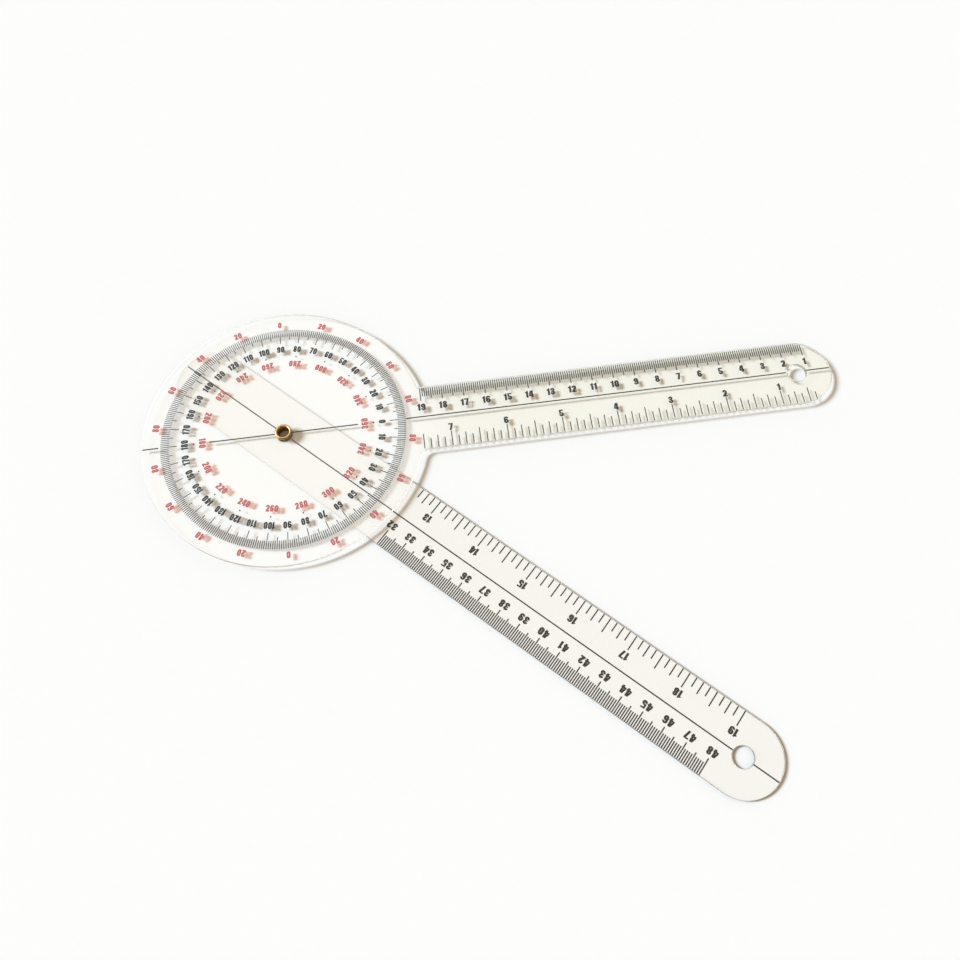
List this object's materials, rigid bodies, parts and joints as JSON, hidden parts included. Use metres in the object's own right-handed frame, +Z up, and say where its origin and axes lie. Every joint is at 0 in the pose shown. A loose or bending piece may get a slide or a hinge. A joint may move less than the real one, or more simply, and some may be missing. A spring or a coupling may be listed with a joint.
{
  "type": "angle finder with arms",
  "caption": "Clear plastic angle finder: a printed full-circle degree disc with a fixed arm, and a ruled moving arm that turns under it on a hollow brass eyelet.",
  "frame": {"origin": "on the pivot axis, at the underside of the eyelet's clinched end, which is the plane that the part rests on", "axes": "+Z up along the eyelet, out of its rolled head; +X from the pivot along the fixed arm; the moving arm lies below the disc and points 43.8 degrees clockwise from +X, seen from above, at rest"},
  "size_m": [0.317, 0.2439, 0.0044],
  "materials": {
    "clear_plate": "clear cast sheet, polished faces, faintly cream",
    "black_print": "screen-printed black ink",
    "red_print": "screen-printed red ink",
    "brass": "bright rolled brass, slightly dulled inside"
  },
  "bodies": {
    "protractor": {"protractor_plate": "clear_plate", "degree_ticks": "black_print", "index_dots": "black_print", "plate_reference_line": "black_print", "plate_cm_ticks": "black_print", "plate_inch_ticks": "black_print", "eyelet": "brass"},
    "arm": {"moving_arm": "clear_plate", "arm_reference_line": "black_print", "arm_cm_ticks": "black_print", "arm_inch_ticks": "black_print"}
  },
  "joints": [
    {"name": "arm_pivot", "type": "hinge", "parent": "protractor", "child": "arm", "pos_m": [0, 0, 0], "axis": [0, 0, 1], "continuous": true}
  ]
}
